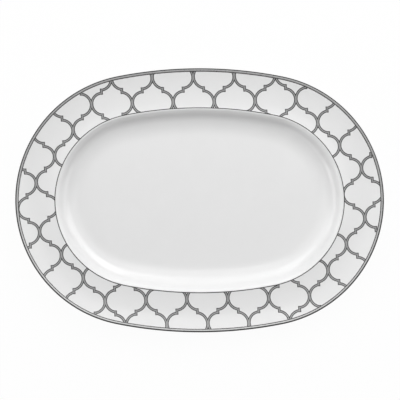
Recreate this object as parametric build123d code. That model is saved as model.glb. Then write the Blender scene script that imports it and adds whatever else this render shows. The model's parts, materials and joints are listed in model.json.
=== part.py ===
"""Oval china serving platter: a fired china body, a platinum band on its lip and a printed ogee lattice on its rim.

Millimetres. The origin is under the middle of the platter on the plane that it stands on, +Z is up, +X runs along
the length and +Y towards the back. A section is drawn with x = 0 at the lip, negative inwards, and y as the height.
"""

from build123d import *
from math import atan2, ceil, cos, degrees, hypot, radians, sin, tan
import os

# ---- outline, seen from above ----------------------------------------------------
LENGTH = 356.0  # over the lip, along X
WIDTH = 255.0  # over the lip, along Y
SIDE_CROWN = 5.5  # how far the long sides bulge past the width of the two round ends

# ---- section, from the middle of the well out to the lip -------------------------
BASE_RECESS = 2.0  # underside of the floor, above the plane that the foot stands on
FLOOR_THICKNESS = 5.0
WALL_THICKNESS = 4.2
LIP_THICKNESS = 3.0
LIP_CHAMFER = 0.9
RIM_WIDTH = 38.5  # lip to verge, in plan
RIM_SLOPE = 7.5  # degrees
VERGE_RADIUS = 8.9  # the shoulder where the rim turns down into the well
WALL_SLOPE = 46.0  # the steepest part of the well's wall
CAVETTO_RADIUS = 30.7  # the hollow curve from that wall to the flat floor
UNDERSIDE_SLOPE = 18.0  # between the steep wall's back and the foot

# ---- foot ring -------------------------------------------------------------------
FOOT_OUTSTAND = 7.8  # its outer edge past the edge of the flat floor, in plan
FOOT_WIDTH = 4.6  # at the bearing face
FOOT_DRAFT = 18.0  # degrees, on both sides

# ---- decoration, fired on top of the glaze ---------------------------------------
FILM = 0.15  # standing height of enamel and platinum
BAND_WIDTH = 2.3  # platinum on the lip, in plan
LINE_WIDTH = 0.8  # printed lines beside the band and at the verge

# ---- ogee lattice ----------------------------------------------------------------
HALF_CELL_WIDTH = 19.8  # from one column of necks to the next
HALF_CELL_HEIGHT = 23.8  # from one row of necks to the next
COLUMN_LEAN = 1.65  # sideways, from one row of necks to the next
ROW_RISE = 0.30  # upwards, from one column of necks to the next
ROW_CURL = 0.0087  # more rise, times the cube of the column number
ROW_DRAW_IN = 0.0025  # towards the middle, times the cube of the column number
PATTERN_SHIFT = 0.9  # the print lies this far to the right of the platter's middle
STROKE_WIDTH = 3.0
NECK_SPLIT = 0.25  # each of the two strokes in a neck lies this far off its axis
STEP_HEIGHT = 3.2  # the little step in the middle of each stroke
STEP_TREAD = 1.2  # flat run on each side of the step
OUTER_RUNS = 3  # straight runs that the outside of each bend is drawn with
INNER_RUNS = 2  # and its inside


# ---- the oval: four tangent arcs, two round ends and two long sides --------------
END_RADIUS = WIDTH / 2 - SIDE_CROWN
END_CENTRE_X = LENGTH / 2 - END_RADIUS
SIDE_CENTRE_Y = (END_CENTRE_X**2 - SIDE_CROWN**2) / (2 * SIDE_CROWN)
SIDE_RADIUS = WIDTH / 2 + SIDE_CENTRE_Y
SIDE_HALF_ANGLE = degrees(atan2(END_CENTRE_X, SIDE_CENTRE_Y))
END_SWEEP = 180 - 2 * SIDE_HALF_ANGLE

# name, centre, radius at the lip, first angle, angle swept
SECTORS = [
    ("right", (END_CENTRE_X, 0), END_RADIUS, SIDE_HALF_ANGLE - 90, END_SWEEP),
    ("back", (0, -SIDE_CENTRE_Y), SIDE_RADIUS, 90 - SIDE_HALF_ANGLE, 2 * SIDE_HALF_ANGLE),
    ("left", (-END_CENTRE_X, 0), END_RADIUS, SIDE_HALF_ANGLE + 90, END_SWEEP),
    ("front", (0, SIDE_CENTRE_Y), SIDE_RADIUS, 270 - SIDE_HALF_ANGLE, 2 * SIDE_HALF_ANGLE),
]


def inset_from_lip(x, y):
    """How far inside the lip's outline a point of the plan lies. Negative outside it."""
    beside_long_side = abs(x) * SIDE_CENTRE_Y < (abs(y) + SIDE_CENTRE_Y) * END_CENTRE_X
    if beside_long_side:
        return SIDE_RADIUS - hypot(x, abs(y) + SIDE_CENTRE_Y)
    return END_RADIUS - hypot(abs(x) - END_CENTRE_X, y)


def sweep_sector(section, centre, radius, first_angle, sweep_angle):
    """Turns a section about the centre of one arc of the oval."""
    a = radians(first_angle)
    cutting_plane = Plane(origin=(*centre, 0), x_dir=(cos(a), sin(a), 0), z_dir=(sin(a), -cos(a), 0))
    placed = cutting_plane * Pos(radius, 0) * section
    return revolve(placed, axis=Axis((*centre, 0), (0, 0, 1)), revolution_arc=sweep_angle)


def sweep_round(section):
    """Takes a section all the way round the oval, as one solid."""
    arcs = [sweep_sector(section, *sector[1:]) for sector in SECTORS]
    return arcs[0].fuse(*arcs[1:]).clean()


def oval_face(inset):
    """The flat face inside the oval that lies a given distance inside the lip."""
    return make_face(
        [CenterArc((*centre, 0), radius - inset, first, sweep) for _, centre, radius, first, sweep in SECTORS]
    )


# ---- corners and centres of the section ------------------------------------------
def down_through(slope):
    """Unit vector square to a surface of that slope, down through the wall."""
    return Vector(sin(radians(slope)), -cos(radians(slope)))


FLOOR_TOP = BASE_RECESS + FLOOR_THICKNESS
verge_run = VERGE_RADIUS * (sin(radians(WALL_SLOPE)) - sin(radians(RIM_SLOPE)))
cavetto_run = CAVETTO_RADIUS * sin(radians(WALL_SLOPE))
FLOOR_INSET = RIM_WIDTH + verge_run + cavetto_run
FOOT_INSET = FLOOR_INSET - FOOT_OUTSTAND
STRIP_INSET = max(FLOOR_INSET, FOOT_INSET + FOOT_WIDTH) + FLOOR_THICKNESS
OUTER_RADIUS = CAVETTO_RADIUS + WALL_THICKNESS
cavetto_centre = Vector(-FLOOR_INSET, FLOOR_TOP + CAVETTO_RADIUS)
verge_centre = cavetto_centre + down_through(WALL_SLOPE) * (CAVETTO_RADIUS + VERGE_RADIUS)
verge_point = verge_centre - down_through(RIM_SLOPE) * VERGE_RADIUS


def rim_point(inset):
    """A point of the section, on the face of the rim."""
    return verge_point + Vector(1, tan(radians(RIM_SLOPE))) * (RIM_WIDTH - inset)


def tangent_corner(centre, radius, slope_1, slope_2):
    """Where the tangents of an arc at two slopes meet. The radius is negative for a dome."""
    middle, half = (slope_1 + slope_2) / 2, (slope_1 - slope_2) / 2
    return centre + down_through(middle) * (radius / cos(radians(half)))


def slope_arc(centre, radius, slope_from, slope_to):
    """The arc of a section between two slopes. The radius is negative for a dome."""
    turn = -90 if radius > 0 else 90
    return CenterArc((centre.X, centre.Y), abs(radius), slope_from + turn, slope_to - slope_from)


def wall_section():
    """The fired wall, from the edge of the flat floor out to the lip."""
    lip_top = rim_point(0)
    lip_bottom = lip_top - Vector(0, LIP_THICKNESS)
    under_verge = tangent_corner(verge_centre, WALL_THICKNESS - VERGE_RADIUS, WALL_SLOPE, RIM_SLOPE)
    under_wall = tangent_corner(cavetto_centre, OUTER_RADIUS, WALL_SLOPE, UNDERSIDE_SLOPE)
    under_foot = tangent_corner(cavetto_centre, OUTER_RADIUS, UNDERSIDE_SLOPE, 0)
    cavetto = slope_arc(cavetto_centre, CAVETTO_RADIUS, 0, WALL_SLOPE)
    verge = slope_arc(verge_centre, -VERGE_RADIUS, WALL_SLOPE, RIM_SLOPE)
    underside = Polyline(
        verge_point,
        lip_top,
        lip_bottom,
        under_verge,
        under_wall,
        under_foot,
        cavetto_centre + down_through(0) * OUTER_RADIUS,
        cavetto_centre + down_through(0) * CAVETTO_RADIUS,
    )
    section = make_face([cavetto, verge, underside])
    lip_corners = section.vertices().sort_by(Axis.X)[-2:]
    return chamfer(lip_corners, LIP_CHAMFER)


def foot_and_floor_section():
    """The foot ring, and the outermost strip of the floor, which ties it to the wall."""
    underside = cavetto_centre.Y - (OUTER_RADIUS**2 - FOOT_OUTSTAND**2) ** 0.5
    foot_top = underside + WALL_THICKNESS / 2
    draft = foot_top * tan(radians(FOOT_DRAFT))
    outer = -FOOT_INSET
    inner = outer - FOOT_WIDTH
    foot = make_face(
        Polyline((outer, 0), (outer + draft, foot_top), (inner - draft, foot_top), (inner, 0), close=True)
    )
    middle = outer - FOOT_WIDTH / 2
    floor = make_face(
        Polyline(
            (middle, BASE_RECESS),
            (-FLOOR_INSET, FLOOR_TOP),
            (-STRIP_INSET, FLOOR_TOP),
            (-STRIP_INSET, BASE_RECESS),
            close=True,
        )
    )
    return foot + floor


def china_body():
    """The fired china: lip, rim, verge, cavetto, floor and foot ring in one piece."""
    ring = sweep_round((wall_section() + foot_and_floor_section()).clean())
    floor = Pos(0, 0, BASE_RECESS) * extrude(oval_face(STRIP_INSET), FLOOR_THICKNESS)
    return (ring + floor).clean()


# ---- decoration ------------------------------------------------------------------
film_rise = Vector(0, FILM / cos(radians(RIM_SLOPE)))  # plumb, so that films side by side meet face to face


def edge_band():
    """Platinum on the outermost strip of the rim and over the lip's upper chamfer."""
    rim_corner = rim_point(LIP_CHAMFER * cos(radians(RIM_SLOPE)))
    lip_corner = rim_point(0) - Vector(0, LIP_CHAMFER)
    rim_normal = -down_through(RIM_SLOPE)
    chamfer_run = (lip_corner - rim_corner).normalized()
    chamfer_normal = Vector(-chamfer_run.Y, chamfer_run.X)
    over_rim_corner = rim_corner + (rim_normal + chamfer_normal) * (FILM / (1 + rim_normal.dot(chamfer_normal)))
    corners = [
        rim_point(BAND_WIDTH),
        rim_corner,
        lip_corner,
        over_rim_corner,
        rim_point(BAND_WIDTH) + film_rise,
    ]
    return sweep_round(make_face(Polyline(*corners, close=True)))


def neck(column, row):
    """Middle of a neck of the lattice. Necks lie where column and row add up to an odd number."""
    x = PATTERN_SHIFT + column * HALF_CELL_WIDTH - ROW_DRAW_IN * column**3 - row * COLUMN_LEAN
    y = row * HALF_CELL_HEIGHT + column * ROW_RISE + ROW_CURL * column**3
    return Vector(x, y)


across = Vector(HALF_CELL_WIDTH, ROW_RISE).normalized()
upwards = Vector(-COLUMN_LEAN, HALF_CELL_HEIGHT).normalized()


def stroke(top, bottom):
    """One double-curved stroke of the lattice, from a neck to the neck below it on one side.

    It is the same upside down: half its outline bends from the neck to the little step, and the rest is that turned.
    """
    side = 1 if bottom.X > top.X else -1
    middle = (top + bottom) * 0.5
    half = STROKE_WIDTH / 2
    start = top + across * (side * NECK_SPLIT)
    step = middle + upwards * (STEP_HEIGHT / 2)
    chord = step - across * (side * STEP_TREAD) - start
    to_centre = Vector(upwards.Y, -upwards.X) * side
    radius = chord.dot(chord) / (2 * chord.dot(to_centre))
    centre = start + to_centre * radius
    first = atan2(-to_centre.Y, -to_centre.X)
    turn = side * 2 * atan2(chord.dot(to_centre), -chord.dot(upwards))

    def bend(r, runs):
        """The arc as straight runs. Its inner corners stand out, so that the runs lie on both sides of the arc."""
        part = turn / runs
        radii = [r, *[r / cos(part / 2) ** 0.5] * (runs - 1), r]
        return [centre + Vector(cos(first + part * i), sin(first + part * i)) * radii[i] for i in range(runs + 1)]

    upper_corner = step + (across * side + upwards) * half
    lower_corner = step - (across * side + upwards) * half
    outside, inside = bend(radius + half, OUTER_RUNS), bend(radius - half, INNER_RUNS)
    half_outline = [lower_corner, *reversed(outside), *inside, upper_corner]
    return make_face(Polyline(*half_outline, *[middle * 2 - p for p in half_outline], close=True))


def lattice_strokes():
    """Every stroke that comes onto the rim."""
    columns = ceil(LENGTH / 2 / HALF_CELL_WIDTH) + 1
    rows = ceil(WIDTH / 2 / HALF_CELL_HEIGHT) + 1
    strokes = []
    for row in range(-rows, rows + 1):
        for column in range(-columns, columns + 1):
            if (column + row) % 2 == 0:
                continue
            top = neck(column, row)
            for side in (-1, 1):
                bottom = neck(column + side, row - 1)
                places = [top + (bottom - top) * (i / 4) for i in range(5)]
                insets = [inset_from_lip(p.X, p.Y) for p in places]
                if any(-STROKE_WIDTH < s < RIM_WIDTH + STROKE_WIDTH for s in insets):
                    strokes.append(stroke(top, bottom))
    return strokes


def printed_border():
    """The printed border laid flat: the lattice, cut off at the two lines that frame it, and the lines."""
    strokes = lattice_strokes()
    lattice = strokes[0].fuse(*strokes[1:]) & (oval_face(BAND_WIDTH) - oval_face(RIM_WIDTH))
    edge_line = oval_face(BAND_WIDTH) - oval_face(BAND_WIDTH + LINE_WIDTH)
    verge_line = oval_face(RIM_WIDTH - LINE_WIDTH) - oval_face(RIM_WIDTH)
    return lattice.fuse(edge_line, verge_line)


def quarter_plan(across_sign, upwards_sign):
    """Plan of one quarter of the border. The quarters meet along the middle column and row of necks."""
    middle = neck(0, 0)
    end_column = round((LENGTH - RIM_WIDTH) / 2 / HALF_CELL_WIDTH)
    past_end = (neck(across_sign * end_column, 0) - middle) * 2
    past_side = neck(0, upwards_sign * WIDTH / HALF_CELL_HEIGHT) - middle
    corners = [middle, middle + past_end, middle + past_end + past_side, middle + past_side]
    return make_face(Polyline(*corners, close=True))


def rim_plug():
    """What would fill the platter to the brim, from just under the verge: its side is the rim's face."""
    insets = (RIM_WIDTH + LINE_WIDTH, RIM_WIDTH / 2, 0)
    return loft([Pos(0, 0, rim_point(inset).Y) * oval_face(inset) for inset in insets])


def border_transfers():
    """The printed border as it is laid on the rim: four transfers, one for each quarter of the oval."""
    border = printed_border()
    low = verge_point.Y - WALL_THICKNESS
    high = rim_point(0).Y + LIP_THICKNESS
    plug = rim_plug()
    raised_plug = Pos(0, 0, film_rise.Y) * plug
    transfers = {}
    for end, upwards_sign in (("back", 1), ("front", -1)):
        for side, across_sign in (("left", -1), ("right", 1)):
            quarter = border & quarter_plan(across_sign, upwards_sign)
            prism = Pos(0, 0, low) * extrude(quarter, high - low, dir=(0, 0, 1))
            transfers[f"border_transfer_{end}_{side}"] = (prism & plug) - raised_plug
    return transfers


def main():
    os.makedirs("parts", exist_ok=True)
    pieces = {
        "china_body": china_body(),
        "platinum_edge_band": edge_band(),
        **border_transfers(),
    }
    for name, shape in pieces.items():
        export_step(shape, f"parts/{name}.step")
        print(name, len(shape.solids()), "solids", round(shape.volume, 1), "mm3")


main()
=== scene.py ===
# %% [markdown]
# # An oval china serving platter
#
# A platter of glazed china lies on a white table and is seen straight from above. It has a broad rim with
# an ogee lattice printed in two greys, a platinum band on the lip, a deep oval well and a foot ring
# underneath. The CAD model holds the sizes. This lesson gives the platter its soft edges and its finish. It
# runs from top to bottom: frame, outline, china, decoration, finishes, table, light, camera. Everything is
# in metres.

# %% The frame: the CAD model as it was packed
import json
from math import asin, atan2, ceil, cos, degrees, hypot, radians, sin, sqrt, tan

import bpy
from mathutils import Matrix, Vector

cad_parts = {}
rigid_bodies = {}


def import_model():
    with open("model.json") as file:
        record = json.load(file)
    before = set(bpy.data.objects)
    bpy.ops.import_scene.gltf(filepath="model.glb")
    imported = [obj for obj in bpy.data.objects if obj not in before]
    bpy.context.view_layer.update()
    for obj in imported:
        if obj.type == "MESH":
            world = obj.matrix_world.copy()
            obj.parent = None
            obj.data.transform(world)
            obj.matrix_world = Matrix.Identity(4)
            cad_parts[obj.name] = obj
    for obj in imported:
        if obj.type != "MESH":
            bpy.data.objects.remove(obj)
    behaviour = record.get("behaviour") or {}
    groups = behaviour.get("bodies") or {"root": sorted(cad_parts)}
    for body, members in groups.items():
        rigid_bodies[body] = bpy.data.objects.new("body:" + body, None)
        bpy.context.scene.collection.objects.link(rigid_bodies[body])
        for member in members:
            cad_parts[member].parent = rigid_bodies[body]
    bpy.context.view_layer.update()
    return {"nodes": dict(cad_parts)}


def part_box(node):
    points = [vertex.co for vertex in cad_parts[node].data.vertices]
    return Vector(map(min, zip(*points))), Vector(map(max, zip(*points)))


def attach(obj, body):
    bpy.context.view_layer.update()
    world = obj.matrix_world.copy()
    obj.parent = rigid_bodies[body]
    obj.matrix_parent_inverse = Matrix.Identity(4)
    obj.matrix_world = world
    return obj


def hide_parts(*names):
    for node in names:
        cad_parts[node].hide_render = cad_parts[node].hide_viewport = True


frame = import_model()
print("CAD nodes:", sorted(frame["nodes"]))

# %% [markdown]
# ## The outline
#
# Seen from above, the lip is an oval of four arcs that meet without a corner: two round ends and two long
# sides that bulge a little. An ellipse would be too pointed at the ends and a rounded rectangle too
# straight at the sides. Whatever is drawn once as a section can be carried round the oval by turning it
# about the four centres, one after the other. Where two arcs meet, their centres and the section lie in one
# line, so that the section passes from one turn to the next without a kink.

# %% Sizes of the oval, from the frame
MM = 0.001
low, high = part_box("china_body")
LENGTH = high.x - low.x
WIDTH = high.y - low.y
LIP_TOP = high.z  # highest point of the glazed lip
SIDE_CROWN = 5.5 * MM  # how far the long sides bulge past the two round ends

END_RADIUS = WIDTH / 2 - SIDE_CROWN
END_CENTRE_X = LENGTH / 2 - END_RADIUS
SIDE_CENTRE_Y = (END_CENTRE_X**2 - SIDE_CROWN**2) / (2 * SIDE_CROWN)
SIDE_RADIUS = WIDTH / 2 + SIDE_CENTRE_Y
SIDE_HALF_ANGLE = degrees(atan2(END_CENTRE_X, SIDE_CENTRE_Y))
END_SWEEP = 180 - 2 * SIDE_HALF_ANGLE
print(f"lip {LENGTH / MM:.1f} x {WIDTH / MM:.1f} mm")
print(f"ends R {END_RADIUS / MM:.1f} mm, sides R {SIDE_RADIUS / MM:.1f} mm")

# %% The journey of a section round the oval, from the middle of the right end and back to it
DEGREES_PER_STEP_AT_ENDS = 1.6
DEGREES_PER_STEP_AT_SIDES = 0.56

# centre x, centre y, degrees swept, degrees in one step
JOURNEY = [
    (END_CENTRE_X, 0, END_SWEEP / 2, DEGREES_PER_STEP_AT_ENDS),
    (0, -SIDE_CENTRE_Y, 2 * SIDE_HALF_ANGLE, DEGREES_PER_STEP_AT_SIDES),
    (-END_CENTRE_X, 0, END_SWEEP, DEGREES_PER_STEP_AT_ENDS),
    (0, SIDE_CENTRE_Y, 2 * SIDE_HALF_ANGLE, DEGREES_PER_STEP_AT_SIDES),
    (END_CENTRE_X, 0, END_SWEEP / 2, DEGREES_PER_STEP_AT_ENDS),
]
print(sum(ceil(sweep / step) for x, y, sweep, step in JOURNEY), "steps round the oval")


def inset_from_lip(point):
    """How far inside the lip's outline a point of the plan lies. Negative outside it."""
    x, y = abs(point.x), abs(point.y)
    if x * SIDE_CENTRE_Y < (y + SIDE_CENTRE_Y) * END_CENTRE_X:
        return SIDE_RADIUS - hypot(x, y + SIDE_CENTRE_Y)
    return END_RADIUS - hypot(x - END_CENTRE_X, y)


# %% [markdown]
# ## A pen for edit mode
#
# Every outline on this platter is made of arcs and straight runs, both the section of the china and the
# lattice. Typing lists of points would hide that. A pen is clearer: it starts as a single vertex, an
# extrude draws a straight run and a spin about a centre draws an arc, just as a plasterer's template is set
# out with rule and compasses. The same pen draws upright sections in XZ and flat plans in XY.

# %% The pen
UPRIGHT = (0, 1, 0)  # a spin about this axis turns anticlockwise in the XZ plane, with Z up
FLAT = (0, 0, -1)  # and about this one in the XY plane, seen from above
WELD = 0.005 * MM  # points closer than this are one point


class Pen:
    """Draws one outline in edit mode."""

    def __init__(self, name, start, axis):
        if bpy.context.mode == "OBJECT":
            bpy.ops.object.select_all(action="DESELECT")
            bpy.ops.mesh.primitive_plane_add(size=MM, location=(0, 0, 0))
            bpy.context.object.name = name
            bpy.ops.object.mode_set(mode="EDIT")
            bpy.ops.mesh.select_all(action="SELECT")
        else:
            bpy.ops.mesh.select_all(action="DESELECT")
            bpy.ops.mesh.primitive_plane_add(size=MM, location=(0, 0, 0))
        bpy.ops.mesh.merge(type="CENTER")
        bpy.ops.transform.translate(value=start)
        self.place = Vector(start)
        self.axis = axis

    def run_to(self, place):
        """Draws a straight run to a place."""
        bpy.ops.mesh.extrude_region_move(TRANSFORM_OT_translate={"value": Vector(place) - self.place})
        self.place = Vector(place)

    def arc(self, centre, turn, steps):
        """Draws an arc about a centre. The turn is in degrees, anticlockwise."""
        bpy.ops.mesh.spin(steps=steps, angle=radians(turn), center=centre, axis=self.axis)
        spoke = self.place - Vector(centre)
        u = spoke.xz if self.axis == UPRIGHT else spoke.xy
        c, s = cos(radians(turn)), sin(radians(turn))
        turned = (u.x * c - u.y * s, u.x * s + u.y * c)
        spoke = Vector((turned[0], 0, turned[1])) if self.axis == UPRIGHT else Vector((*turned, 0))
        self.place = Vector(centre) + spoke


def leave_edit_mode():
    """Back to object mode, with the finished object as the answer."""
    bpy.ops.object.mode_set(mode="OBJECT")
    return bpy.context.object


# %% Carrying a closed section round the oval
def carry_round():
    """Turns the section in edit mode about the four centres, and welds its last place to its first."""
    bpy.ops.mesh.select_all(action="SELECT")
    for x, y, sweep, step in JOURNEY:
        bpy.ops.mesh.spin(steps=ceil(sweep / step), angle=radians(sweep), center=(x, y, 0), axis=FLAT)
    bpy.ops.mesh.select_all(action="SELECT")
    bpy.ops.mesh.remove_doubles(threshold=WELD)


def report(piece):
    """Prints what a finished piece holds."""
    size = piece.dimensions / MM
    print(f"{piece.name}: {len(piece.data.polygons)} faces, {size.x:.2f} x {size.y:.2f} x {size.z:.2f} mm")


# %% [markdown]
# ## The section of the china
#
# The CAD body holds the right sizes with straight runs and few faces. The real wall has no straight run at
# all. It leaves the flat floor in a wide hollow curve, climbs the well and turns over a tight shoulder at
# the verge. The rim beyond it is slightly hollow: beside the well it still dips a little, and from there it
# rises ever steeper to the lip. That hollow is what lets the rim take the light differently on each side of
# the platter. The lip is a half round. The underside follows the wall, a little thinner at the lip, down to
# a foot ring with a narrow bearing face.
#
# The section is given by slopes. Two arcs that share a slope where they meet are tangent, so each arc needs
# only a radius and the slope that it ends on.

# %% Sizes of the section
FILM = 0.05 * MM  # height of the decoration above the glaze, which counts in the platter's length and width
RIM_WIDTH = 38.5 * MM  # lip to verge, in plan
LIP_RADIUS = 1.45 * MM
SLOPE_AT_LIP = 16.0
SLOPE_AT_VERGE = -3.0  # below 0, because the rim stands up a little again beside the well
VERGE_RADIUS = 2.2 * MM  # the tight shoulder right inside the printed line
SHOULDER_SLOPE = 38.0
CROWN_RADIUS = 20.0 * MM  # from the shoulder the wall still grows steeper for a few millimetres
WALL_SLOPE = 56.0
HOLLOW_SLOPE = 22.0  # where the tight hollow of the wall passes into the wide one
WIDE_HOLLOW_RADIUS = 38.0 * MM
FLOOR_TOP = 7.0 * MM
BASE_RECESS = 2.0 * MM

# %% Centres of the arcs on the upper face
def square_to(slope):
    """Unit vector down through the wall, square to a face of that slope. The section's x runs outwards."""
    return Vector((sin(radians(slope)), 0, -cos(radians(slope))))


lip_centre = Vector((LENGTH / 2 - FILM - LIP_RADIUS, 0, LIP_TOP - LIP_RADIUS))
rim_end = lip_centre - square_to(SLOPE_AT_LIP) * LIP_RADIUS
rim_run = rim_end.x - (LENGTH / 2 - RIM_WIDTH)
RIM_RADIUS = rim_run / (sin(radians(SLOPE_AT_LIP)) - sin(radians(SLOPE_AT_VERGE)))
rim_centre = rim_end - square_to(SLOPE_AT_LIP) * RIM_RADIUS
verge = rim_centre + square_to(SLOPE_AT_VERGE) * RIM_RADIUS
shoulder = verge + (square_to(SLOPE_AT_VERGE) - square_to(SHOULDER_SLOPE)) * VERGE_RADIUS
steepest = shoulder + (square_to(SHOULDER_SLOPE) - square_to(WALL_SLOPE)) * CROWN_RADIUS


def climb(slope_1, slope_2):
    """How high an arc of radius 1 climbs between two slopes."""
    return abs(cos(radians(slope_1)) - cos(radians(slope_2)))


wide_hollow_rise = WIDE_HOLLOW_RADIUS * climb(HOLLOW_SLOPE, 0)
HOLLOW_RADIUS = (steepest.z - FLOOR_TOP - wide_hollow_rise) / climb(WALL_SLOPE, HOLLOW_SLOPE)
hollow_end = steepest + (square_to(HOLLOW_SLOPE) - square_to(WALL_SLOPE)) * HOLLOW_RADIUS
floor_edge = hollow_end + (square_to(0) - square_to(HOLLOW_SLOPE)) * WIDE_HOLLOW_RADIUS
print(f"rim R {RIM_RADIUS / MM:.0f}, verge {verge.z / MM:.2f} mm high, hollow R {HOLLOW_RADIUS / MM:.1f}")
floor_inset = LENGTH / 2 - floor_edge.x
print(f"flat floor {floor_inset / MM:.1f} mm inside the lip, {floor_edge.z / MM:.2f} mm high")

# %% Sizes of the underside
UNDER_VERGE_SLOPE = 1.0
UNDER_VERGE_RADIUS = 2.5 * MM
UNDER_VERGE_INSET = 36.5 * MM
UNDER_WALL_SLOPE = 54.0
UNDER_WALL_RADIUS = 26.0 * MM
UNDER_FOOT_SLOPE = 18.0
FOOT_INSET = 58.0 * MM  # its outer edge, in from the lip
FOOT_WIDTH = 4.6 * MM
FOOT_DRAFT = 18.0
FOOT_FILLET = 1.2 * MM
FOOT_EDGE_RADIUS = 1.0 * MM
print(f"foot ring {FOOT_WIDTH / MM:.1f} mm wide, {FOOT_INSET / MM:.0f} mm inside the lip")


# %% The pen that follows slopes
class SectionPen(Pen):
    """A pen in the XZ plane that keeps its heading, in degrees, and goes on as the last arc ended."""

    def __init__(self, name, start, heading):
        super().__init__(name, start, UPRIGHT)
        self.heading = heading

    def bend_to(self, heading, radius, steps):
        """Bends with a radius until the pen has a new heading."""
        turn = (heading - self.heading + 180) % 360 - 180
        side = 90 if turn > 0 else -90
        to_centre = radians(self.heading + side)
        self.arc(self.place + Vector((cos(to_centre), 0, sin(to_centre))) * radius, turn, steps)
        self.heading = heading

    def turn_onto(self, through, heading, radius, steps):
        """Runs straight on and then bends onto the line that goes through a place with a new heading."""
        ahead = Vector((cos(radians(self.heading)), 0, sin(radians(self.heading))))
        beyond = Vector((cos(radians(heading)), 0, sin(radians(heading))))
        gap = Vector(through) - self.place
        crossed = ahead.x * beyond.z - ahead.z * beyond.x
        to_corner = (gap.x * beyond.z - gap.z * beyond.x) / crossed
        half_turn = abs((heading - self.heading + 180) % 360 - 180) / 2
        self.run_to(self.place + ahead * (to_corner - radius * tan(radians(half_turn))))
        self.bend_to(heading, radius, steps)


def draw_china_section():
    """Draws the wall from the edge of the floor out over the lip and back under to the base."""
    pen = SectionPen("china", floor_edge, 0)
    pen.bend_to(HOLLOW_SLOPE, WIDE_HOLLOW_RADIUS, steps=8)
    pen.bend_to(WALL_SLOPE, HOLLOW_RADIUS, steps=12)
    pen.bend_to(SHOULDER_SLOPE, CROWN_RADIUS, steps=6)
    pen.bend_to(SLOPE_AT_VERGE, VERGE_RADIUS, steps=8)
    pen.bend_to(SLOPE_AT_LIP, RIM_RADIUS, steps=16)
    pen.bend_to(SLOPE_AT_LIP - 180, LIP_RADIUS, steps=18)
    under_rim_run = pen.place.x - (LENGTH / 2 - UNDER_VERGE_INSET)
    slopes_apart = sin(radians(SLOPE_AT_LIP)) - sin(radians(UNDER_VERGE_SLOPE))
    pen.bend_to(UNDER_VERGE_SLOPE - 180, under_rim_run / slopes_apart, steps=10)
    pen.bend_to(UNDER_WALL_SLOPE - 180, UNDER_VERGE_RADIUS, steps=10)
    pen.bend_to(UNDER_FOOT_SLOPE - 180, UNDER_WALL_RADIUS, steps=10)
    draw_foot(pen)


def draw_foot(pen):
    """Down the outside of the foot ring, along its bearing face, and up the inside to the base."""
    outer = Vector((LENGTH / 2 - FOOT_INSET, 0, 0))
    inner = outer - Vector((FOOT_WIDTH, 0, 0))
    base = Vector((0, 0, BASE_RECESS))
    pen.turn_onto(outer, 270 - FOOT_DRAFT, FOOT_FILLET, steps=6)
    pen.turn_onto(outer, 180, FOOT_EDGE_RADIUS, steps=6)
    pen.turn_onto(inner, 90 + FOOT_DRAFT, FOOT_EDGE_RADIUS, steps=6)
    pen.turn_onto(base, 180, FOOT_FILLET, steps=6)


# %% [markdown]
# ## The china body
#
# The section is carried round the oval, which leaves two oval holes: the floor of the well and the base.
# Each is closed with one flat face and then inset twice, so that the smooth shading of the wall ends before
# the floor begins. The normals are recalculated once the shell is closed, because a spin can leave it
# inside out.

# %% Closing the floor and the base
FLAT_RINGS = (1.5 * MM, 12 * MM)  # widths, from the border inwards


def close_flat_hole(height):
    """Fills the open edge at a height with a flat face and gives it two rings near its border."""
    bpy.ops.mesh.select_all(action="DESELECT")
    bpy.ops.object.mode_set(mode="OBJECT")
    shell = bpy.context.object.data
    uses = {}
    for face in shell.polygons:
        for key in face.edge_keys:
            uses[key] = uses.get(key, 0) + 1
    for edge in shell.edges:
        ends = [shell.vertices[i].co for i in edge.vertices]
        edge.select = uses.get(edge.key, 0) == 1 and all(abs(end.z - height) < WELD for end in ends)
    bpy.ops.object.mode_set(mode="EDIT")
    bpy.ops.mesh.select_mode(type="EDGE")
    bpy.ops.mesh.edge_face_add()
    for width in FLAT_RINGS:
        bpy.ops.mesh.inset(thickness=width)
    bpy.ops.mesh.select_mode(type="VERT")


# %% The china body
draw_china_section()
carry_round()
close_flat_hole(floor_edge.z)
close_flat_hole(BASE_RECESS)
bpy.ops.mesh.select_all(action="SELECT")
bpy.ops.mesh.normals_make_consistent(inside=False)
china = leave_edit_mode()
bpy.ops.object.shade_smooth()
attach(china, "root")
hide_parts("china_body")
report(china)

# %% [markdown]
# ## Films on the rim
#
# Platinum and printed enamel lie on top of the glaze, a few hundredths of a millimetre high. Painting them
# into the material of the china would be simple, but then they would have no edge and no piece of their
# own. Each is modelled as a thin skin instead, which stands a little above the rim and reaches a little
# into the china, so that no gap shows from the side. A skin along the rim is two arcs about the centre of
# the rim's own curve.

# %% A thin skin along the rim
ROOT = 0.25 * MM  # depth of a film's underside in the china


def rim_slope(inset):
    """Slope of the rim at a distance inside the lip."""
    return degrees(asin((LENGTH / 2 - inset - rim_centre.x) / RIM_RADIUS))


def rim_skin(name, outer_inset, inner_inset, steps):
    """A closed ring of film on the rim, between two distances inside the lip."""
    outer, inner = rim_slope(outer_inset), rim_slope(inner_inset)
    pen = Pen(name, rim_centre + square_to(inner) * (RIM_RADIUS - FILM), UPRIGHT)
    pen.arc(rim_centre, outer - inner, steps)
    pen.run_to(rim_centre + square_to(outer) * (RIM_RADIUS + ROOT))
    pen.arc(rim_centre, inner - outer, steps)
    pen.run_to(rim_centre + square_to(inner) * (RIM_RADIUS - FILM))
    carry_round()
    bpy.ops.mesh.normals_make_consistent(inside=False)
    return leave_edit_mode()


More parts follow.
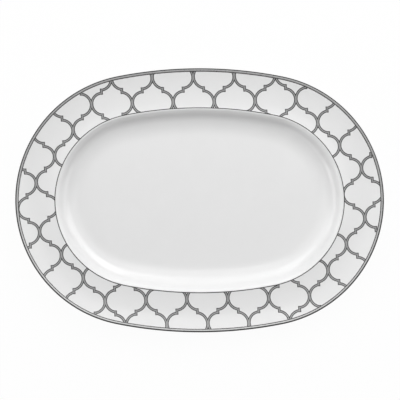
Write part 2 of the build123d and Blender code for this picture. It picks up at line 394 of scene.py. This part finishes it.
# %% [markdown]
# ## The platinum band and the two fine lines
#
# The band runs along the outermost strip of the rim and over the half round of the lip, where a brush laid
# it on. A fine dark line closes it on the inside, and another one follows the verge. The print was laid on
# between them.
#
# The outside of the lip carries a painted dark reflection: its colour is darker than the rest of the band,
# standing in for the dark surroundings that the metal would mirror there. A finish can't easily tell where
# that is on an oval of four arcs. The mesh can, so each point of the band is marked with a number that the
# finish reads later.

# %% The platinum band
BAND_WIDTH = 2.6 * MM
LINE_WIDTH = 0.8 * MM
BAND_DOWN_LIP = 25.0  # degrees past the outermost point of the lip


def platinum_band():
    """A closed ring of film whose section runs along the rim, round the lip, and back inside the china."""
    inner, lip = rim_slope(BAND_WIDTH), SLOPE_AT_LIP
    round_lip = lip + 90 + BAND_DOWN_LIP
    pen = Pen("platinum_band", rim_centre + square_to(inner) * (RIM_RADIUS - FILM), UPRIGHT)
    pen.arc(rim_centre, lip - inner, steps=2)
    pen.arc(lip_centre, -round_lip, steps=14)
    pen.run_to(lip_centre + (pen.place - lip_centre).normalized() * (LIP_RADIUS - ROOT))
    pen.arc(lip_centre, round_lip, steps=14)
    pen.arc(rim_centre, inner - lip, steps=2)
    pen.run_to(rim_centre + square_to(inner) * (RIM_RADIUS - FILM))
    carry_round()
    bpy.ops.mesh.normals_make_consistent(inside=False)
    return leave_edit_mode()


band = platinum_band()
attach(band, "root")
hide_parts("platinum_edge_band")
report(band)

# %% Where the band gets its painted dark reflection
PAINTED_REFLECTION_EDGE = 1.0 * MM  # in from the outline, seen from above
PAINTED_REFLECTION_FADE = 0.5 * MM

# each point's share of the painted dark reflection: 1 on the outside of the lip, fading to 0 further in
marks = band.data.attributes.new("rubbed", "FLOAT", "POINT")
for point, mark in zip(band.data.vertices, marks.data):
    past = inset_from_lip(point.co) - PAINTED_REFLECTION_EDGE
    mark.value = min(1, max(0, 1 - past / PAINTED_REFLECTION_FADE))
print(sum(mark.value > 0 for mark in marks.data), "of", len(marks.data), "points of the band are rubbed")

# %% The two fine lines
edge_line = rim_skin("edge_line", BAND_WIDTH, BAND_WIDTH + LINE_WIDTH, steps=1)
verge_line = rim_skin("verge_line", RIM_WIDTH - LINE_WIDTH, RIM_WIDTH, steps=1)
TRANSFERS = sorted(node for node in frame["nodes"] if node.startswith("border_transfer"))
for line in (edge_line, verge_line):
    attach(line, "root")
    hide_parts(*TRANSFERS)
    report(line)

# %% [markdown]
# ## The ogee lattice
#
# The lattice is a common trellis: double-curved strokes meet in necks, and between them lie onion-shaped
# cells. Each stroke swings out of a neck in an arc, makes a small step halfway, and swings back into the
# next neck. It was cut from one flat sheet, so it doesn't follow the oval: the lines simply cut it off.
#
# Drawing the strokes and joining them is awkward where they overlap in the necks. The cells never overlap,
# so the lattice is drawn by its cells. A cell's edge lies half a stroke away from the middle of the
# strokes. Drawn twice, at two distances from that middle, it gives the dark keyline as a closed loop, and
# what is left between the loops is the lighter core. Where two strokes part, the keylines of the two cells
# meet in a small dark point by themselves.

# %% Sizes of the lattice
HALF_CELL_WIDTH = 19.8 * MM  # from one column of necks to the next
HALF_CELL_HEIGHT = 23.8 * MM  # from one row of necks to the next
COLUMN_LEAN = 1.65 * MM  # sideways, from one row to the next
ROW_RISE = 0.30 * MM  # upwards, from one column to the next
ROW_CURL = 0.0087 * MM  # more rise, times the cube of the column's number
ROW_DRAW_IN = 0.0025 * MM  # towards the middle, times the cube of the column's number
PATTERN_SHIFT = 0.9 * MM  # the print lies this far right of the middle
EVEN_ROWS = 4  # past these rows, up and down, the columns lean less, by the size that follows
SWING_BACK = 1.1 * MM
NECK_SPLIT = 0.35 * MM  # each of the two strokes in a neck lies this far off its axis
STEP_HEIGHT = 3.2 * MM
STEP_TREAD = 1.2 * MM
STROKE_HALF = 1.33 * MM  # from the middle of a stroke to its edge
CORE_HALF = 0.55 * MM  # from the middle of a stroke to the dark keyline


def neck(column, row):
    """Middle of a neck if column and row add up to an odd number, and of a cell if to an even one."""
    swing = (max(row - EVEN_ROWS, 0) - max(-row - EVEN_ROWS, 0)) * SWING_BACK
    x = PATTERN_SHIFT + column * HALF_CELL_WIDTH - ROW_DRAW_IN * column**3 - row * COLUMN_LEAN + swing
    y = row * HALF_CELL_HEIGHT + column * ROW_RISE + ROW_CURL * column**3
    return Vector((x, y))


across = Vector((HALF_CELL_WIDTH, ROW_RISE)).normalized()
upwards = Vector((-COLUMN_LEAN, HALF_CELL_HEIGHT)).normalized()
square_across = Vector((upwards.y, -upwards.x))
print(f"cells {2 * HALF_CELL_WIDTH / MM:.1f} mm apart, strokes {2 * STROKE_HALF / MM:.2f} mm wide")


# %% One stroke, from a neck down to the neck below it on one side
class Stroke:
    """The middle line of a stroke. It is the same upside down, so half of it describes it all."""

    def __init__(self, top, bottom):
        self.side = 1 if bottom.x > top.x else -1
        self.middle = (top + bottom) / 2
        self.step = self.middle + upwards * (STEP_HEIGHT / 2)
        start = top + across * (self.side * NECK_SPLIT)
        chord = self.step - across * (self.side * STEP_TREAD) - start
        to_centre = square_across * self.side
        self.radius = chord.length_squared / (2 * chord.dot(to_centre))
        self.centre = start + to_centre * self.radius
        self.first = degrees(atan2(-to_centre.y, -to_centre.x))
        self.turn = self.side * 2 * degrees(atan2(chord.dot(to_centre), -chord.dot(upwards)))

    def under_face(self, away):
        """The face towards the cell below its top neck, at a distance from the middle line.

        It is a list of corners and arcs. An arc is its centre, radius, first angle and turn.
        """
        corner = (across * self.side + upwards) * away
        last = self.first + self.turn
        return [
            ("arc", self.centre, self.radius + away, self.first, self.turn),
            ("corner", self.step - corner),
            ("corner", self.middle * 2 - self.step - corner),
            ("arc", self.middle * 2 - self.centre, self.radius - away, last + 180, -self.turn),
        ]

    def over_face(self, away):
        """The face towards the cell above its bottom neck: the other face turned upside down."""
        turned = []
        for kind, place, *arc in self.under_face(away):
            if kind == "arc":
                radius, first, turn = arc
                arc = [radius, first + 180, turn]
            turned.append((kind, self.middle * 2 - place, *arc))
        return turned


def reverse_face(face):
    """The same face walked the other way."""
    walked_back = []
    for kind, place, *arc in reversed(face):
        if kind == "arc":
            radius, first, turn = arc
            arc = [radius, first + turn, -turn]
        walked_back.append((kind, place, *arc))
    return walked_back


# %% One cell
def crossing(arc_1, arc_2, towards):
    """Where two arcs of a pointed tip cross, on the side that a direction points to."""
    centre_1, radius_1 = arc_1[1], arc_1[2]
    centre_2, radius_2 = arc_2[1], arc_2[2]
    between = centre_2 - centre_1
    apart = between.length
    along = (radius_1**2 - radius_2**2 + apart**2) / (2 * apart)
    up = sqrt(radius_1**2 - along**2)
    square = Vector((-between.y, between.x)) / apart
    if square.dot(towards) < 0:
        square = -square
    return centre_1 + between * (along / apart) + square * up


def start_arc_at(arc, place):
    """The arc with its beginning cut off at a place."""
    kind, centre, radius, first, turn = arc
    spoke = place - centre
    cut = (degrees(atan2(spoke.y, spoke.x)) - first + 180) % 360 - 180
    return (kind, centre, radius, first + cut, turn - cut)


def cell_outline(column, row, away):
    """The outline of a cell at a distance from the middle of its strokes, clockwise from its top tip."""
    top, bottom = neck(column, row + 1), neck(column, row - 1)
    left, right = neck(column - 1, row), neck(column + 1, row)
    top_left = Stroke(top, left).under_face(away)
    top_right = Stroke(top, right).under_face(away)
    bottom_left = Stroke(left, bottom).over_face(away)
    bottom_right = Stroke(right, bottom).over_face(away)
    top_tip = crossing(top_left[0], top_right[0], -upwards)
    bottom_tip = crossing(bottom_left[0], bottom_right[0], upwards)
    for face in (top_left, top_right):
        face[0] = start_arc_at(face[0], top_tip)
    for face in (bottom_left, bottom_right):
        face[0] = start_arc_at(face[0], bottom_tip)
    return [*top_right, *reverse_face(bottom_right), *bottom_left, *reverse_face(top_left)]


BEND_STEPS = 9


def draw_outline(name, outline):
    """Draws an outline with the flat pen, and closes it."""
    pen = None
    for kind, place, *arc in outline:
        if kind == "arc":
            radius, first, turn = arc
            start = place + Vector((cos(radians(first)), sin(radians(first)))) * radius
            if pen is None:
                pen = Pen(name, (*start, 0), FLAT)
            else:
                pen.run_to((*start, 0))
            pen.arc((*place, 0), turn, BEND_STEPS)
        else:
            pen.run_to((*place, 0))
    bpy.ops.mesh.select_linked()
    bpy.ops.mesh.remove_doubles(threshold=WELD)


# %% Which cells come onto the rim
FIELD_OUTER = BAND_WIDTH + LINE_WIDTH  # the lattice lies between the two fine lines
FIELD_INNER = RIM_WIDTH - LINE_WIDTH
SPOTS_ON_ARC = 5  # looked at from its beginning to its end


def on_the_print(column, row):
    """Whether any part of a cell's edge lies on the printed part of the rim."""
    for kind, place, *arc in cell_outline(column, row, CORE_HALF):
        spots = [place]
        if kind == "arc":
            radius, first, turn = arc
            angles = [radians(first + turn * i / (SPOTS_ON_ARC - 1)) for i in range(SPOTS_ON_ARC)]
            spots = [place + Vector((cos(a), sin(a))) * radius for a in angles]
        if any(FIELD_OUTER < inset_from_lip(spot) < FIELD_INNER for spot in spots):
            return True
    return False


COLUMNS = ceil(LENGTH / 2 / HALF_CELL_WIDTH) + 1
ROWS = ceil(WIDTH / 2 / HALF_CELL_HEIGHT) + 1
CELLS = [
    (column, row)
    for row in range(-ROWS, ROWS + 1)
    for column in range(-COLUMNS, COLUMNS + 1)
    if (column + row) % 2 == 0 and on_the_print(column, row)
]
print(len(CELLS), "cells come onto the rim")

# %% Upright walls on the outlines, to cut the film with
CUTTER_SPARE = 3 * MM  # past the film, above and below
CUTTER_LOW = verge.z - CUTTER_SPARE
CUTTER_HIGH = LIP_TOP + CUTTER_SPARE


def raise_flat_faces():
    """Lifts the flat faces of the open mesh to the bottom of the cutter and extrudes them to its top."""
    bpy.ops.mesh.select_all(action="SELECT")
    bpy.ops.transform.translate(value=(0, 0, CUTTER_LOW))
    bpy.ops.mesh.extrude_region_move(TRANSFORM_OT_translate={"value": (0, 0, CUTTER_HIGH - CUTTER_LOW)})
    bpy.ops.mesh.select_all(action="SELECT")
    bpy.ops.mesh.normals_make_consistent(inside=False)
    return leave_edit_mode()


def loop_cutter(column, row):
    """The dark keyline of a cell as an upright wall: two outlines bridged, and extruded."""
    draw_outline("keyline_cutter", cell_outline(column, row, CORE_HALF))
    draw_outline("keyline_cutter", cell_outline(column, row, STROKE_HALF))
    bpy.ops.mesh.select_all(action="SELECT")
    bpy.ops.mesh.bridge_edge_loops()
    return raise_flat_faces()


def cell_cutter(column, row):
    """A whole cell up to the core of its strokes, as an upright block."""
    draw_outline("cell_cutter", cell_outline(column, row, CORE_HALF))
    bpy.ops.mesh.select_all(action="SELECT")
    bpy.ops.mesh.edge_face_add()
    return raise_flat_faces()


def joined(pieces):
    """Several pieces as one object."""
    bpy.ops.object.select_all(action="DESELECT")
    for piece in pieces:
        piece.select_set(True)
    bpy.context.view_layer.objects.active = pieces[0]
    bpy.ops.object.join()
    return pieces[0]


# %% Cutting a film
SHARP_ANGLE = 20.0  # edges that turn more than this stay sharp


def cut(film, cutter, operation):
    """Cuts a film with a cutter, and throws the cutter away."""
    bpy.ops.object.select_all(action="DESELECT")
    bpy.context.view_layer.objects.active = film
    film.select_set(True)
    boolean = film.modifiers.new("cut", "BOOLEAN")
    boolean.solver = "EXACT"
    boolean.operation = operation
    boolean.object = cutter
    bpy.ops.object.modifier_apply(modifier=boolean.name)
    bpy.data.objects.remove(cutter)
    bpy.ops.object.shade_smooth_by_angle(angle=radians(SHARP_ANGLE))


# %% The lattice, as keylines and cores
FIELD_STEPS = 12  # flat runs across the rim

lattice_keyline = rim_skin("lattice_keyline", FIELD_OUTER, FIELD_INNER, FIELD_STEPS)
cut(lattice_keyline, joined([loop_cutter(*cell) for cell in CELLS]), "INTERSECT")
lattice_core = rim_skin("lattice_core", FIELD_OUTER, FIELD_INNER, FIELD_STEPS)
cut(lattice_core, joined([cell_cutter(*cell) for cell in CELLS]), "DIFFERENCE")
for print_piece in (lattice_keyline, lattice_core):
    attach(print_piece, "root")
    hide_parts(*TRANSFERS)
    report(print_piece)

# %% [markdown]
# ## Writing a finish
#
# A finish is a small sum of noises and masks. Written node by node it is hard to read, so two classes help.
# A Wire is one socket, and adding or multiplying wires adds the Math nodes. A Finish holds the nodes of a
# material, or of the world. One of its methods makes any node, and another ends a material in its shader.

# %% Wires
class Wire:
    """One output socket, which can be used in sums."""

    def __init__(self, finish, socket):
        self.finish = finish
        self.socket = socket

    def maths(self, operation, *values):
        return self.finish.node("Math", {"operation": operation}, *values)["Value"]

    def __add__(self, other):
        return self.maths("ADD", self, other)

    def __radd__(self, other):
        return self.maths("ADD", other, self)

    def __sub__(self, other):
        return self.maths("SUBTRACT", self, other)

    def __rsub__(self, other):
        return self.maths("SUBTRACT", other, self)

    def __mul__(self, other):
        return self.maths("MULTIPLY", self, other)

    def __rmul__(self, other):
        return self.maths("MULTIPLY", other, self)

    def __lt__(self, other):
        return self.maths("LESS_THAN", self, other)


# %% Finishes
class Finish:
    """The nodes of a new material, or of a world."""

    def __init__(self, name, world=None):
        self.home = world or bpy.data.materials.new(name)
        self.home.use_nodes = True
        self.tree = self.home.node_tree
        self.tree.nodes.clear()

    def node(self, kind, settings=None, *in_order, **by_name):
        """Makes a node with its settings, and then the values or wires of its sockets.

        The answer gives its outputs by name, as wires.
        """
        made = self.tree.nodes.new("ShaderNode" + kind)
        for name, value in (settings or {}).items():
            setattr(made, name, value)
        pairs = list(zip(made.inputs, in_order))
        for name, value in by_name.items():
            words = name.replace("_", " ")
            pairs.append((next(s for s in made.inputs if s.enabled and s.name == words), value))
        for socket, value in pairs:
            if isinstance(value, Wire):
                self.tree.links.new(value.socket, socket)
            else:
                socket.default_value = value
        return {s.name: Wire(self, s) for s in made.outputs if s.enabled}

    def place(self):
        """Where on the piece the surface is, in metres."""
        return self.node("TexCoord")["Object"]

    def noise(self, place, size, detail=2.0):
        """A soft noise whose lumps have a real size. It lies around 0.5."""
        return self.node("TexNoise", None, Vector=place, Scale=1 / size, Detail=detail)["Fac"]

    def end_in(self, colour, roughness, relief, **constants):
        """Ends a material in a Principled shader, with a relief in metres and any constants."""
        bump = self.node("Bump", None, Strength=1.0, Distance=1.0, Height=relief)["Normal"]
        shader = self.node(
            "BsdfPrincipled", None, Base_Color=colour, Roughness=roughness, Normal=bump, **constants
        )
        self.node("OutputMaterial", None, Surface=shader["BSDF"])
        return self

    def put_on(self, *pieces):
        """Gives the finish to pieces as their only one."""
        for piece in pieces:
            piece.data.materials.clear()
            piece.data.materials.append(self.home)
            print(self.home.name, "on", piece.name)


def grey(value):
    """One grey all over, for a colour socket."""
    return (value, value, value, 1)


def varied_grey(finish, value):
    """A grey that changes over the surface, as a colour wire."""
    return finish.node("CombineColor", None, Red=value, Green=value, Blue=value)["Color"]


def around(middle, swing, noise):
    """A value that a noise moves about its middle, within a swing from end to end."""
    return middle - swing / 2 + swing * noise


# %% [markdown]
# ## Glazed china
#
# The glaze is a hard clear glass on a white body. It looks alive because nothing in it is quite even: the
# body is a trace darker here and there, the glaze pulls into slow ripples of a few centimetres, and a
# firing leaves the finest pits. A Principled shader with low roughness carries the gloss, and three sizes of
# noise carry the rest. The bearing face of the foot is wiped clean before the firing, so there the bare
# body shows, dry and a little darker.

# %% The finish of the china
CHINA_WHITE = 0.76
CHINA_SWING = 0.024  # from the darkest to the lightest mottle
BARE_BODY = 0.62
BARE_SWING = 0.08
GLAZE_ROUGHNESS = 0.12
GLAZE_ROUGHNESS_SWING = 0.04
BARE_ROUGHNESS = 0.85
GLAZE_IOR = 1.55
BARE_HEIGHT = 0.35 * MM  # the foot is wiped up to here, along an edge that wavers by the next size
WIPE_WAVER = 0.2 * MM
RIPPLE = 45 * MM
RIPPLE_HEIGHT = 0.10 * MM
MOTTLE = 14 * MM
PITS = 0.9 * MM
PIT_DEPTH = 0.002 * MM


def glazed_china():
    finish = Finish("glazed_china")
    place = finish.place()
    height = finish.node("SeparateXYZ", None, Vector=place)["Z"]
    ripple = finish.noise(place, RIPPLE, detail=1.0)
    mottle = finish.noise(place, MOTTLE, detail=3.0)
    pits = finish.noise(place, PITS)
    wiped = (height + WIPE_WAVER * mottle) < BARE_HEIGHT
    tone = around(CHINA_WHITE, CHINA_SWING, mottle)
    bare_tone = around(BARE_BODY, BARE_SWING, pits)
    gloss = around(GLAZE_ROUGHNESS, GLAZE_ROUGHNESS_SWING, mottle)
    return finish.end_in(
        varied_grey(finish, tone + wiped * (bare_tone - tone)),
        gloss + wiped * (BARE_ROUGHNESS - gloss),
        RIPPLE_HEIGHT * ripple + PIT_DEPTH * pits,
        IOR=GLAZE_IOR,
    )


glazed_china().put_on(china)

# %% [markdown]
# ## Platinum and print
#
# Fired platinum is a real metal film, brushed on by hand. It mirrors what stands round it. On the outside
# of the lip its colour is painted darker, as a painted dark reflection, so that a fine dark line runs round
# the platter. Each point of the band carries a number that says how far out it lies, and the finish reads
# it. The print beside it is satin with a little metal in it: a dark keyline and a lighter core.

# %% The finishes of the decoration
WEAR = 6 * MM  # patches where hands and cloths have worn the film
WEAR_TONE_SWING = 0.16  # as a part of the tone
WEAR_ROUGHNESS_SWING = 0.08
GRAIN = 0.25 * MM
GRAIN_HEIGHT = 0.001 * MM
GRAIN_ROUGHNESS_SWING = 0.04


def metal_film(name, tone, roughness, metallic, painted_reflection_tone=None):
    finish = Finish(name)
    # where the mesh marks it, the tone goes towards a painted dark reflection, darker than the metal's own
    # colour
    if painted_reflection_tone is not None:
        rubbed = finish.node("Attribute", {"attribute_name": "rubbed"})["Fac"]
        tone = tone + (painted_reflection_tone - tone) * rubbed
    place = finish.place()
    wear = finish.noise(place, WEAR, detail=3.0)
    grain = finish.noise(place, GRAIN)
    worn_roughness = around(roughness, WEAR_ROUGHNESS_SWING, wear)
    return finish.end_in(
        varied_grey(finish, around(1, WEAR_TONE_SWING, wear) * tone),
        around(worn_roughness, GRAIN_ROUGHNESS_SWING, grain),
        GRAIN_HEIGHT * grain,
        Metallic=metallic,
    )


# the band's colour is painted almost black on the outside of the lip, as a painted dark reflection
metal_film("platinum", tone=0.3, roughness=0.28, metallic=1.0, painted_reflection_tone=0.02).put_on(band)
keyline_grey = metal_film("keyline_grey", tone=0.02, roughness=0.35, metallic=0.2)
keyline_grey.put_on(lattice_keyline, edge_line, verge_line)
metal_film("core_grey", tone=0.27, roughness=0.35, metallic=0.2).put_on(lattice_core)

# %% [markdown]
# ## The table and the light
#
# The platter lies on white, with most of the light from the back right. Two things must not be mixed up
# here: how white the table looks and how much light falls on the china. The table and the room look white
# because they show white to the camera and in reflections, and only there. Lamps bright enough to do that
# would wash out the china.

# %% What is seen, and what only lights
def seen_in_picture(finish):
    """1 for a ray from the camera, off a gloss or through a glass, and 0 for one that only brings light."""
    rays = finish.node("LightPath")
    return rays["Is Camera Ray"] + rays["Is Glossy Ray"] + rays["Is Transmission Ray"]


# %% The table
TABLE_SIZE = 6.0
TABLE_GREY = 0.85
TABLE_GLOW = 0.96  # the rest of what is seen of the table is its lit grey, which holds the shadow


def white_table():
    finish = Finish("white_table")
    lit = finish.node("BsdfDiffuse", None, Color=grey(TABLE_GREY))["BSDF"]
    white = finish.node("Emission", None, Color=grey(1.0), Strength=1.0)["Emission"]
    mixed = finish.node("MixShader", None, seen_in_picture(finish) * TABLE_GLOW, lit, white)["Shader"]
    finish.node("OutputMaterial", None, Surface=mixed)
    return finish


bpy.ops.object.select_all(action="DESELECT")
bpy.ops.mesh.primitive_plane_add(size=TABLE_SIZE, location=(0, 0, 0))
table = bpy.context.object
table.name = "table"
white_table().put_on(table)

# %% The room
ROOM_LIGHT = 0.04


def white_room():
    world = bpy.data.worlds.new("surroundings")
    finish = Finish("surroundings", world)
    dim = finish.node("Background", None, Color=grey(1.0), Strength=ROOM_LIGHT)["Background"]
    white = finish.node("Background", None, Color=grey(1.0), Strength=1.0)["Background"]
    mixed = finish.node("MixShader", None, seen_in_picture(finish), dim, white)["Shader"]
    finish.node("OutputWorld", None, Surface=mixed)
    return world


bpy.context.scene.world = white_room()
print(f"the room is seen as white and lights with {ROOM_LIGHT} of that")

# %% [markdown]
# ## The lamps
#
# A bare lamp would leave a hard spark on the glaze, and light from all round would hide the hollow of the
# rim. So broad soft boxes light the platter. Three stand halfway up at the back, and the one at the right is
# the strongest, so that the wall of the well is darkest at the back right and brightest at the front left.
# The low ones skim over the rim. Two weak ones stand high and light the floor a little.

# %% A soft box
LAMP_DISTANCE = 1.4
BROAD = (1.4, 0.9)  # width and height
SQUARE = (0.9, 0.9)


def soft_box(name, azimuth, elevation, size, watts):
    """An area lamp that looks at the platter. Azimuth 0 is the right, 90 the back."""
    a, e = radians(azimuth), radians(elevation)
    outwards = Vector((cos(a) * cos(e), sin(a) * cos(e), sin(e)))
    bpy.ops.object.light_add(type="AREA", location=outwards * LAMP_DISTANCE)
    lamp = bpy.context.object
    lamp.name = name
    lamp.rotation_euler = outwards.to_track_quat("Z", "Y").to_euler()
    lamp.data.shape = "RECTANGLE"
    lamp.data.size, lamp.data.size_y = size
    lamp.data.energy = watts
    lamp.visible_camera = False
    return lamp


# %% The lamps
lamps = [
    soft_box("back_right", azimuth=45, elevation=45, size=BROAD, watts=9.5),
    soft_box("back", azimuth=90, elevation=45, size=BROAD, watts=4.5),
    soft_box("back_left", azimuth=135, elevation=45, size=BROAD, watts=4.5),
    soft_box("low_back", azimuth=90, elevation=20, size=BROAD, watts=3.5),
    soft_box("low_left", azimuth=180, elevation=20, size=BROAD, watts=5.5),
    soft_box("low_right", azimuth=0, elevation=20, size=BROAD, watts=4.5),
    soft_box("low_front_left", azimuth=225, elevation=20, size=BROAD, watts=4.0),
    soft_box("high_right", azimuth=45, elevation=65, size=SQUARE, watts=2.0),
    soft_box("high_left", azimuth=135, elevation=65, size=SQUARE, watts=1.5),
]
print(len(lamps), "lamps,", sum(lamp.data.energy for lamp in lamps), "W")

# %% [markdown]
# ## The camera
#
# The picture is taken straight from above with a long lens, so that no side of the platter leans. The frame
# is 386 mm wide at the height of the lip, and the platter lies a hair off its middle.

# %% The camera
LENS = 200.0  # focal length and sensor in millimetres
SENSOR = 36.0
FRAME_WIDTH = 385.9 * MM
OFF_MIDDLE = (0.39 * MM, 0.29 * MM)

camera_height = LIP_TOP + FRAME_WIDTH * LENS / SENSOR
bpy.ops.object.camera_add(location=(*OFF_MIDDLE, camera_height), rotation=(0, 0, 0))
camera = bpy.context.object
camera.data.lens = LENS
camera.data.sensor_width = SENSOR
bpy.context.scene.camera = camera
bpy.context.scene.view_settings.view_transform = "Standard"
print(f"camera {camera_height:.3f} m above the table")
